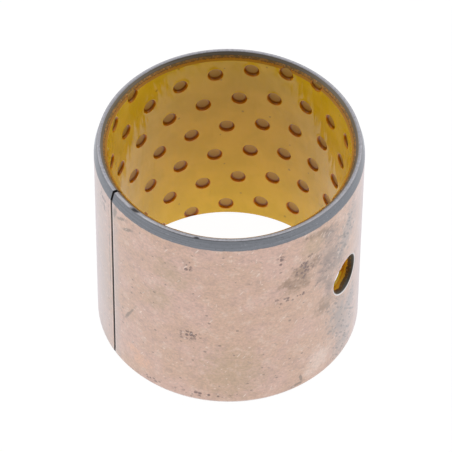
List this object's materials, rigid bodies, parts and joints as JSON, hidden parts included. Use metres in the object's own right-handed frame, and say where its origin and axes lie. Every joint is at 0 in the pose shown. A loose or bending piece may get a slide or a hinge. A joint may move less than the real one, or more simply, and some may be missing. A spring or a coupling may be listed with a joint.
{
  "type": "wrapped plain bushing",
  "caption": "Wrapped plain bushing: a copper-flashed steel sleeve lined with sintered bronze and dimpled yellow acetal, with a straight butt seam and a radial oil hole.",
  "frame": {"origin": "centre of the bore at the lower end face", "axes": "+Z along the bore towards the end with the lead-in chamfer, +X through the middle of the oil hole; the butt seam is 120 degrees clockwise of +X seen from +Z"},
  "size_m": [0.05, 0.05, 0.045],
  "materials": {
    "copper_flashed_steel": "rolled mild steel strip with a thin copper flash outside; bare turned steel on the end faces and chamfers",
    "sintered_bronze": "porous sintered tin bronze, seen only where the mouth chamfers cut it",
    "acetal": "rolled yellow acetal overlay with pressed grease dimples, half gloss"
  },
  "bodies": {
    "root": {"steel_backing": "copper_flashed_steel", "bronze_interlayer": "sintered_bronze", "acetal_liner": "acetal"}
  },
  "joints": []
}
